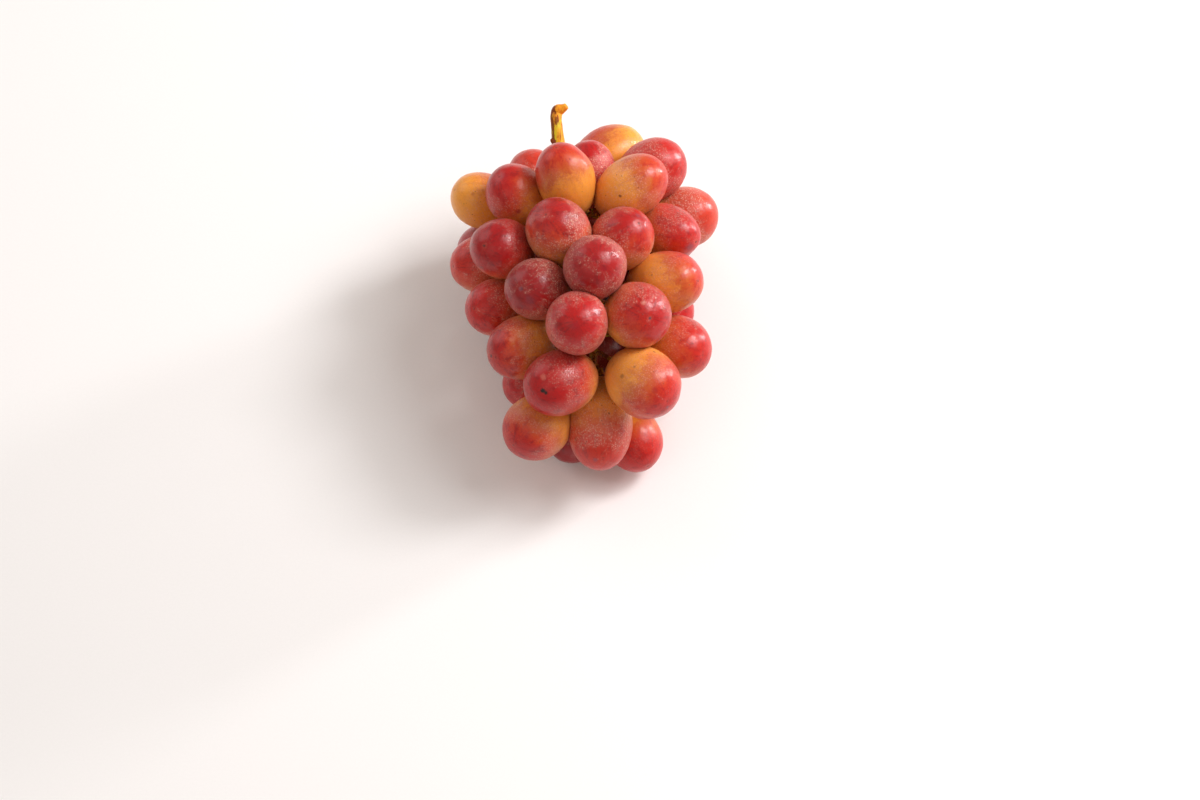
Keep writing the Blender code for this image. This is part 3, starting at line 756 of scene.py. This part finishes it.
def own_frame(tree, turn):
    """The place on a piece, read in a frame that is turned as the piece's own length is."""
    at = add(tree, "TexCoord").outputs["Object"]
    made = add(tree, "Mapping", {"Vector": at})
    made.inputs["Rotation"].default_value = turn.to_3x3().inverted().to_euler("XYZ")
    return made.outputs[0]


def skin_patterns(tree, turn, offset):
    """The places on a skin, and the patterns that its colour, its bloom and its bumps share."""
    at = own_frame(tree, turn)
    moved = vector(tree, "ADD", at, offset)
    flat = vector(tree, "MULTIPLY", at, (1.0, 1.0, 0.0))
    # Streaks run from the stalk to the scar
    round_the_axis = vector(tree, "SCALE", vector(tree, "NORMALIZE", flat), scale=STREAK_TURN)
    along = vector(tree, "MULTIPLY", at, (0.0, 0.0, STREAK_STRETCH))
    meridian = vector(tree, "ADD", vector(tree, "ADD", round_the_axis, along), offset)
    on = {name: grain(tree, moved, *settings) for name, settings in CLOUDS.items()}
    on["streaks"] = grain(tree, meridian, *STREAKS)
    on.update(at=at, moved=moved, flat=flat)
    on["height"] = add(tree, "SeparateXYZ", {0: at}).outputs["Z"]
    on["outward"] = vector(tree, "NORMALIZE", at)
    return on


def bare_skin(tree, on, half, look):
    """The skin's colour under its bloom, amber to red across the blush's edge, and its blotches."""
    side, edge, depth, _, _ = look
    if depth < DEEP:
        deepest = between(ROSE, RED, min(1.0, depth * DEEPENING))
    else:
        deepest = between(RED, WINE, (depth - DEEP) * DEEPENING)
    faced = vector(tree, "DOT_PRODUCT", on["outward"], side)
    for name, reach in BLUSH_SWAY.items():
        faced = swayed(tree, faced, on[name], reach)
    blush = soft_step(tree, faced, edge - BLUSH_SPREAD, edge + BLUSH_SPREAD)
    colour = ramp(tree, blush, [(0.0, GOLD), (0.3, AMBER), (0.55, between(AMBER, ROSE, 0.5 + 0.3 * depth)),
                                (0.8, between(ROSE, deepest, 0.6)), (1.0, deepest)])
    # The amber is mottled
    mottled = soft_step(tree, weigh(tree, (on["streaks"], 0.4), (on["fine"], 0.6)), 0.46, 0.60)
    plain = calc(tree, "SUBTRACT", 1.0, blush)
    share = times(tree, mottled, times(tree, plain, AMBER_MOTTLES))
    colour = mix(tree, share, colour, MOTTLE)
    # The stalk end stays greenish where the blush is thin, and its dull olive there is also painted shade
    # where the berries press together deep in the bunch
    stalk_end_green_and_shade = soft_step(tree, on["height"], GREEN_AND_SHADE_SPAN[0] * half, GREEN_AND_SHADE_SPAN[1] * half)
    green = min(0.7, max(0.05, (0.45 + 0.35 * edge) * (0.4 + depth)))
    colour = mix(tree, times(tree, stalk_end_green_and_shade, green), colour, GREEN_GOLD_AND_SHADE)
    # The full red has darker blotches, and mottles over them
    blotch = soft_step(tree, weigh(tree, (on["middling"], 0.60), (on["streaks"], 0.40)), 0.51, 0.62)
    full = times(tree, blush, blush)
    share = times(tree, blotch, times(tree, full, RED_BLOTCHES))
    colour = mix(tree, share, colour, between(deepest, WINE, 0.10 + 0.60 * depth))
    share = times(tree, mottled, times(tree, full, RED_MOTTLES))
    return mix(tree, share, colour, WINE), blotch


def bloom_film(tree, on, blotch, bloom):
    """How thick the bloom is: haze and grains of dust, thickest round the waist, rubbed off in patches."""
    waist = soft_step(tree, vector(tree, "DOT_PRODUCT", on["outward"], (0.0, 0.0, 1.0)), 0.985, 0.50)
    patch = grain(tree, on["moved"], *BLOOM_PATCHES)
    lie = weigh(tree, (waist, 1.0), (patch, 2.8), (on["streaks"], 1.4), (blotch, -0.25), start=-2.10)
    lie = soft_step(tree, lie, 0.05, 0.85)
    motes = add(tree, "TexVoronoi", {"Vector": on["moved"]}, {"Scale": MOTE_SCALE})
    drawn = add(tree, "SeparateColor", {0: motes.outputs["Color"]})
    kept = soft_step(tree, calc(tree, "ADD", drawn.outputs[0], on["fine"]), 0.60, 0.95)
    dust = times(tree, soft_step(tree, motes.outputs["Distance"], 0.55, 0.20), kept)
    film = weigh(tree, (on["fine"], 0.90), (dust, 0.65), start=-0.26)
    film = calc(tree, "MULTIPLY_ADD", film, lie, 0.01)
    return times(tree, film, 0.68 * bloom + 0.02)


def corky_specks(tree, on):
    """Where the small corky specks are, one in every other cell."""
    cells = add(tree, "TexVoronoi", {"Vector": on["moved"]}, {"Scale": SPECK_SCALE})
    drawn = add(tree, "SeparateColor", {0: cells.outputs["Color"]})
    lone = calc(tree, "GREATER_THAN", drawn.outputs[0], 0.5)
    dot = soft_step(tree, cells.outputs["Distance"], 0.16, 0.06)
    return times(tree, times(tree, dot, lone), SPECK_STRENGTH)


def with_marks(tree, on, colour, marks):
    """The colour with this berry's own marks in it, each with a ragged edge; the pale ones on D and U are
    painted highlights.
    """
    for place, wide, kind, strength in marks:
        away = vector(tree, "DISTANCE", on["at"], place)
        away = swayed(tree, away, on["fine"], 0.9 * wide)
        away = swayed(tree, away, on["middling"], 1.2 * wide)
        spot = soft_step(tree, away, 1.1 * wide, 0.25 * wide, 0.0, strength)
        colour = mix(tree, spot, colour, MARK_COLOURS[kind])
    return colour


def with_scar(tree, on, colour, scarred):
    """The colour with the free end's scar in it, a pit in a paler ring, and where the pit is."""
    off = swayed(tree, vector(tree, "LENGTH", on["flat"]), on["fine"], SCAR_SWAY)
    top = calc(tree, "GREATER_THAN", on["height"], 0.0)
    ring = times(tree, soft_step(tree, off, *SCAR_RING_SPAN, 0.0, 0.12 * scarred), top)
    colour = mix(tree, ring, colour, SCAR_RING)
    pit = times(tree, soft_step(tree, off, *SCAR_PIT_SPAN, 0.0, 0.12 + 0.85 * scarred), top)
    return mix(tree, pit, colour, SCAR), pit


def grape_skin(name, look, turn, half, offset, marks):
    """The skin of one berry: amber to red, with bloom, specks, its own marks (the pale ones on D and U are
    painted highlights) and the scar.
    """
    _, _, _, bloom, scarred = look
    made, tree, shader = new_material(name)
    on = skin_patterns(tree, turn, offset)
    colour, blotch = bare_skin(tree, on, half, look)
    film = bloom_film(tree, on, blotch, bloom)
    colour = mix(tree, film, colour, BLOOM)
    specks = corky_specks(tree, on)
    colour = mix(tree, specks, colour, SPECK)
    colour = with_marks(tree, on, colour, marks)
    colour, pit = with_scar(tree, on, colour, scarred)
    rough = weigh(tree, (film, 0.60), (on["fine"], 0.14), (pit, 0.3), start=0.24)
    swell = weigh(tree, (on["fine"], 0.30), (on["middling"], 0.50), (film, 0.60), (specks, 0.25))
    bump = add(tree, "Bump", {"Height": swell}, {"Strength": 0.8, "Distance": 0.0005})
    wax = add(tree, "Bump", {"Height": swell}, {"Strength": 0.5, "Distance": 0.0005})
    fill(tree, shader, {
        "Base Color": colour, "Roughness": rough, "Normal": bump.outputs[0], "Coat Normal": wax.outputs[0],
        "IOR": 1.42, "Specular IOR Level": 0.35, "Coat Weight": 0.24, "Coat Roughness": 0.08,
        "Subsurface Weight": 0.18, "Subsurface Scale": 0.003, "Subsurface Radius": (1.0, 0.30, 0.14),
        "Sheen Weight": 0.04 * bloom, "Sheen Roughness": 0.5,
    })
    return made


def stalk_skin(name, turn, green, brown, side=(0.0, 0.0, 0.0), shade=0.0):
    """The stalk's skin: golden and green, streaked with brown along it, most down one side."""
    made, tree, shader = new_material(name)
    at = own_frame(tree, turn)
    streaks = grain(tree, vector(tree, "MULTIPLY", at, (1.0, 1.0, 0.16)), 520.0, 5.0, 0.62, 0.5)
    patches = grain(tree, vector(tree, "MULTIPLY", at, (1.0, 1.0, 0.5)), 150.0, 3.0, 0.6, 0.8)
    rust = grain(tree, vector(tree, "MULTIPLY", at, (1.0, 1.0, 0.4)), 900.0, 3.0, 0.6)
    fine = grain(tree, at, 2600.0, 4.0, 0.6)
    colour = ramp(tree, patches, [(0.38, STALK_GREEN), (0.38 + green * 0.16, STALK_GOLD), (0.62, STALK_CORK)])
    flecks = soft_step(tree, rust, 0.52, 0.66)
    colour = mix(tree, times(tree, flecks, 0.5), colour, STALK_RUST)
    outward = vector(tree, "NORMALIZE", vector(tree, "MULTIPLY", at, (1.0, 1.0, 0.0)))
    faced = vector(tree, "DOT_PRODUCT", outward, side)
    dark = weigh(tree, (streaks, 0.5), (patches, 0.5), (faced, 0.10))
    dark = soft_step(tree, dark, 0.60 - 0.12 * brown, 0.65 - 0.10 * brown)
    colour = mix(tree, times(tree, dark, 0.9), colour, STALK_BROWN)
    cells = add(tree, "TexVoronoi", {"Vector": at}, {"Scale": 900.0})
    dot = soft_step(tree, cells.outputs["Distance"], 0.22, 0.10)
    colour = mix(tree, times(tree, dot, 0.4), colour, STALK_BROWN)
    # The whole skin is darkened toward brown by a share: on the rachis and the branches inside the bunch this
    # is painted shade
    colour = mix(tree, shade, colour, STALK_BROWN)
    rise = weigh(tree, (fine, 0.3), (streaks, 0.7))
    bump = add(tree, "Bump", {"Height": rise}, {"Strength": 0.6, "Distance": 0.0004})
    fill(tree, shader, {
        "Base Color": colour, "Roughness": weigh(tree, (fine, 0.25), start=0.45), "Normal": bump.outputs[0],
        "Specular IOR Level": 0.2, "Subsurface Weight": 0.12, "Subsurface Scale": 0.0015,
    })
    return made


def floor_material():
    """A plain pale sweep of paper."""
    made, tree, shader = new_material("floor_paper")
    at = add(tree, "TexCoord").outputs["Object"]
    tooth = grain(tree, at, 900.0, 3.0, 0.6)
    colour = mix(tree, tooth, linear(FLOOR), between(FLOOR, FLOOR_TOOTH, 0.4))
    bump = add(tree, "Bump", {"Height": tooth}, {"Strength": 0.04, "Distance": 0.0003})
    fill(tree, shader, {"Base Color": colour, "Roughness": 0.85, "Normal": bump.outputs[0]})
    return made


def place_mesh(name, points, faces, middle, shift, material):
    """A piece from points in the layout's millimetres, with its origin at a middle."""
    mesh = bpy.data.meshes.new(name)
    mesh.from_pydata([tuple((Vector(p) - Vector(middle)) * 0.001) for p in points], [], faces)
    mesh.validate()
    mesh.shade_smooth()
    obj = bpy.data.objects.new(name, mesh)
    bpy.context.scene.collection.objects.link(obj)
    obj.location = (Vector(middle) + Vector(shift)) * 0.001
    obj.data.materials.append(material)
    return obj


def grid_faces(rings, sides):
    """Quads between rings of points, closed round, with a fan onto a last point at each end."""
    faces = []
    for i in range(rings - 1):
        for j in range(sides):
            k = (j + 1) % sides
            faces.append((i * sides + j, (i + 1) * sides + j, (i + 1) * sides + k, i * sides + k))
    first, last = rings * sides, rings * sides + 1
    for j in range(sides):
        k = (j + 1) % sides
        faces.append((first, j, k))
        faces.append((last, (rings - 1) * sides + k, (rings - 1) * sides + j))
    return faces


def bell(distance, width):
    """A rise that is 1 at no distance and fades over a width."""
    return np.exp(-(distance / width) ** 2)


def berry_points(berry, pose, seed):
    """A berry's points: an oval with slight swells, a dimple at the stalk and a scar at the free end."""
    _, _, half, wide = berry
    rng = np.random.default_rng(seed)
    lean, wave = rng.uniform(0, math.tau, 2), rng.uniform(-1, 1, 3)
    share = np.arange(1, FINE_RINGS) / FINE_RINGS
    polar = math.pi * (share - POLE_CROWDING * np.sin(math.tau * share) / math.tau)
    polar = np.concatenate([polar, [0.0, math.pi]])
    turn = np.arange(FINE_SIDES) * math.tau / FINE_SIDES
    p, a = np.meshgrid(polar, turn, indexing="ij")
    girth = wide * np.sin(p) * (1 + TAPER * np.cos(p))
    oval = OVAL_SHARE * wave[0] * np.cos(2 * (a - lean[0])) * np.sin(p)
    girth *= 1 + oval + THREE_SIDED_SHARE * wave[1] * np.cos(3 * (a - lean[1]))
    free_end = np.where(p < 1, 1.0, 0.0)
    z = half * np.cos(p)
    z -= free_end * (SCAR_DIP[0] * bell(girth, SCAR_DIP[1]) - SCAR_KNOB[0] * bell(girth, SCAR_KNOB[1]))
    z += (1 - free_end) * STALK_DIMPLE[0] * bell(girth, STALK_DIMPLE[1])
    points = np.stack([girth * np.cos(a), girth * np.sin(a), z], -1)
    points = np.concatenate([points[:-2].reshape(-1, 3), points[-2:, 0]])
    shifted = rng.uniform(-NOISE_SPAN, NOISE_SPAN, 3)
    out = points / np.linalg.norm(points, axis=1)[:, None]
    swell = sum(height * np.array([noise.noise(Vector(q / length + shifted)) for q in points])
                for height, length in (SWELL, SMALL_SWELL))
    calm = np.clip(np.hypot(points[:, 0], points[:, 1]) / CALM_WIDTH, 0, 1)
    points += out * (swell * calm)[:, None]
    matrix = np.array(pose)
    return points @ matrix[:3, :3].T + matrix[:3, 3]


def softly_over(value):
    """A value where it is over 0, and a soft bend to 0 below."""
    return SOFT_PRESS * np.logaddexp(0, value / SOFT_PRESS)


def press_flat(points, own, each):
    """Flatten a berry where it meets its neighbours and the ground."""
    for j, (centre, axis, half, wide) in enumerate(each):
        if j == own or np.linalg.norm(each[own][0] - centre) > each[own][2] + half + 2:
            continue
        q = points - centre
        along = q @ axis
        across = q - along[:, None] * axis
        girth = wide * (1 + TAPER * np.clip(along / half, -1, 1))
        size = np.sqrt((along / half) ** 2 + (across ** 2).sum(1) / girth ** 2) + TINY
        normal = along[:, None] * axis / half ** 2 + across / girth[:, None] ** 2
        steep = np.linalg.norm(normal, axis=1)
        deep = (1 - size) * size / (steep + TINY)
        near = deep > -1.0
        push = 0.5 * softly_over(np.clip(deep[near], None, PRESS_REACH))
        points[near] += normal[near] / steep[near][:, None] * push[:, None]
    points[:, 2] += np.where(points[:, 2] < 1.0, softly_over(-points[:, 2]), 0.0)
    return points


def resample(points, radii, step):
    """A path read as a smooth curve through its points, at even steps."""
    points, radii = np.asarray(points, float), np.asarray(radii, float)
    ends = np.vstack([2 * points[0] - points[1], points, 2 * points[-1] - points[-2]])
    fine, wide = [], []
    for i in range(len(points) - 1):
        a, b, c, d = ends[i:i + 4]
        count = max(2, int(math.ceil(np.linalg.norm(c - b) / step)))
        for t in np.arange(count) / count:
            fine.append(0.5 * (2 * b + (c - a) * t + (2 * a - 5 * b + 4 * c - d) * t ** 2
                               + (3 * b - a - 3 * c + d) * t ** 3))
            wide.append(radii[i] + (radii[i + 1] - radii[i]) * t)
    return np.array(fine + [points[-1]]), np.array(wide + [radii[-1]])


def tube(points, radii, sides, seed, ridge):
    """Points and faces of a stalk along a path, a little ridged and uneven, with both ends closed."""
    side, rings = None, []
    salt = Vector((seed * 7.3, seed * 3.1, 0.0))
    for i, p in enumerate(points):
        way = Vector(points[min(i + 1, len(points) - 1)] - points[max(i - 1, 0)]).normalized()
        side = way.orthogonal() if side is None else side - way * side.dot(way)
        side.normalize()
        other = way.cross(side)
        for j in range(sides):
            a = math.tau * j / sides
            x, y, along = math.cos(a), math.sin(a), i * TUBE_STEP
            bump, fine = (noise.noise(Vector((x * turns, y * turns, along / length)) + salt)
                          for turns, length in (RIDGE, SMALL_RIDGE))
            radius = float(radii[i]) * (1 + ridge * (1.6 * bump + fine))
            rings.append(Vector(p) + radius * (x * side + y * other))
    return rings + [Vector(points[0]), Vector(points[-1])], grid_faces(len(points), sides)


def turned_to(way):
    """The turn that lays a piece's own length along a way."""
    return Vector((0, 0, 1)).rotation_difference(Vector(way)).to_matrix().to_4x4()


def cut_stalk(shift):
    """The cut stalk above the bunch with its hooked tip, rooted in the rachis."""
    line = [on_sight_line(*place)[0] for place in PEDUNCLE + HOOK]
    root = line[0]
    turn = turned_to(line[len(PEDUNCLE)] - root)
    radii = [RACHIS_RADII[1] * ROOT_SHARE, *PEDUNCLE_RADII, *HOOK_RADII]
    points, faces = tube(*resample([RACHIS[1], *line], radii, TUBE_STEP), sides=32, seed=3, ridge=0.06)
    browned = tuple(turn.to_3x3().inverted() @ Vector((-1.0, 0.0, 0.2)))
    skin = stalk_skin("stalk_gold", turn, green=0.6, brown=0.75, side=browned)
    return place_mesh("cut_stalk", points, faces, root, shift, skin)


def cut_shoot(shift):
    """The stub of a side shoot that was cut off."""
    line = [on_sight_line(*place)[0] for place in SHOOT]
    points, faces = tube(*resample(line, SHOOT_RADII, step=0.3), sides=24, seed=4, ridge=0.14)
    skin = stalk_skin("stalk_cut", turned_to(line[-1] - line[0]), green=0.2, brown=3.0, shade=0.6)
    return place_mesh("cut_shoot", points, faces, line[0], shift, skin)


def rachis(shift):
    """The stalk through the bunch."""
    points, faces = tube(*resample(RACHIS, RACHIS_RADII, TUBE_STEP), sides=24, seed=5, ridge=0.06)
    # Darkened toward brown as painted shade of the bunch's inside
    skin = stalk_skin("stalk_inner", turned_to(RACHIS[0] - RACHIS[-1]), green=0.9, brown=1.1, shade=0.4)
    return place_mesh("rachis", points, faces, RACHIS[3], shift, skin)


def branches(berries, shift):
    """The branches off the rachis, with a small stalk to each berry that swells at its end."""
    all_points, all_faces = [], []
    for i, (path, radius) in enumerate(stalk_paths(berries)):
        path, radius = path.copy(), radius.copy()
        back = path[0] - path[1]
        path[0] += back / np.linalg.norm(back) * RECEPTACLE_SINK
        line, thick = resample(path, radius, TUBE_STEP)
        arc = np.concatenate([[0], np.cumsum(np.linalg.norm(np.diff(line, axis=0), axis=1))])
        thick = thick + (RECEPTACLE_RADIUS - PEDICEL_RADIUS) * bell(arc - RECEPTACLE_PLACE, RECEPTACLE_SPREAD)
        points, faces = tube(line, thick, TUBE_SIDES, seed=11 + i, ridge=0.08)
        start = len(all_points)
        all_points += points
        all_faces += [tuple(start + v for v in face) for face in faces]
    # Darkened toward brown as painted shade of the bunch's inside
    skin = stalk_skin("stalk_branch", Matrix.Identity(4), green=1.0, brown=1.1, shade=0.4)
    return place_mesh("branches", all_points, all_faces, RACHIS[3], shift, skin)


def stalk_pieces(berries, shift):
    """The cut stalk, its side shoot, the rachis and the branches."""
    for piece in (cut_stalk(shift), cut_shoot(shift), rachis(shift), branches(berries, shift)):
        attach(piece, "root")
        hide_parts("stem")


def place_on_berry(berry, turn, x, y):
    """Where a sight line first meets a berry, in the berry's own frame."""
    centre, _, half, wide = berry
    point, eye = on_sight_line(x, y, 0.0)
    way = turn.to_3x3().inverted() @ Vector(point - eye).normalized()
    start = turn.to_3x3().inverted() @ Vector(eye - centre)
    p, d = (Vector((v.x / wide, v.y / wide, v.z / half)) for v in (start, way))
    b, c = p.dot(d), p.dot(p) - 1
    reach = (-b - math.sqrt(max(0.0, b * b - d.dot(d) * c))) / d.dot(d)
    return tuple((start + way * reach) * 0.001)


def grape_pieces(each, spins, shift):
    """Every berry, with its own shape and skin."""
    axes = np.array(view_axes())
    names = [row[0] for row in SEEN]
    rng = np.random.default_rng(SEED + 4)
    for i, berry in enumerate(each):
        pose = berry_pose(berry, spins[i])
        turn = pose.to_3x3().to_4x4()
        offset = tuple(rng.uniform(-PATTERN_SHIFT, PATTERN_SHIFT, 3))
        # A hidden berry's look is drawn dark, as painted shade
        side, rest, marks = berry[1], rng.uniform(*HIDDEN_SHADED_LOOKS), []
        if i < len(names):
            side, *rest = LOOKS[names[i]]
            side = axes.T @ np.array(side)
            marks = [(place_on_berry(berry, turn, x, y), wide * 0.001, kind, strength)
                     for x, y, wide, kind, strength in MARKS_AND_HIGHLIGHTS.get(names[i], [])]
        side = np.array(turn)[:3, :3].T @ (side / np.linalg.norm(side))
        look = (tuple(side), *[float(v) for v in rest])
        skin = grape_skin("grape_skin_%02d" % (i + 1), look, turn, berry[2] * 0.001, offset, marks)
        points = press_flat(berry_points(berry, pose, SEED + i), i, each)
        name = "grape_%02d" % (i + 1)
        piece = place_mesh(name, points, grid_faces(FINE_RINGS - 1, FINE_SIDES), berry[0], shift, skin)
        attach(piece, "root")
        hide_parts("berries")


def area_light(name, place, size, power, colour):
    """A soft light that looks at the bunch."""
    light = bpy.data.lights.new(name, "AREA")
    light.energy, light.color = power, colour
    if isinstance(size, tuple):
        light.shape, (light.size, light.size_y) = "RECTANGLE", size
    else:
        light.shape, light.size = "DISK", size
    obj = bpy.data.objects.new(name, light)
    bpy.context.scene.collection.objects.link(obj)
    obj.location = place
    obj.rotation_euler = (Vector(LIT_POINT) - Vector(place)).to_track_quat("-Z", "Y").to_euler()


def studio(shift):
    """Floor, light and camera."""
    bpy.ops.mesh.primitive_circle_add(vertices=96, radius=6.0, fill_type="NGON", location=(0, 0, -0.0002))
    floor = bpy.context.object
    floor.name = "floor"
    floor.data.materials.append(floor_material())

    scene = bpy.context.scene
    scene.world = bpy.data.worlds.new("studio")
    scene.world.use_nodes = True
    sky = scene.world.node_tree.nodes["Background"]
    sky.inputs["Color"].default_value = SKY_COLOUR
    sky.inputs["Strength"].default_value = SKY_STRENGTH
    for settings in LIGHTS:
        area_light(*settings)

    scene.view_settings.view_transform = "Standard"
    lens = bpy.data.cameras.new("camera")
    lens.sensor_width = 36.0
    lens.lens = lens.sensor_width * EYE_DISTANCE / (PICTURE_SIZE[0] * MM_PER_UNIT)
    camera = bpy.data.objects.new("camera", lens)
    scene.collection.objects.link(camera)
    camera.location = Vector(on_sight_line(*PICTURE_MIDDLE, 0.0)[1] + shift) * 0.001
    camera.rotation_euler = (math.radians(90 - EYE_ELEVATION), 0.0, 0.0)
    scene.camera = camera


def main():
    """Make the pieces, the floor, the light and the camera."""
    berries = settle_berries()
    spins = np.random.default_rng(SEED).uniform(0, math.tau, len(berries[0]))
    each = list(zip(*berries))
    shift = shift_to_frame(each, spins)
    grape_pieces(each, spins, shift)
    stalk_pieces(berries, shift)
    studio(shift)


main()
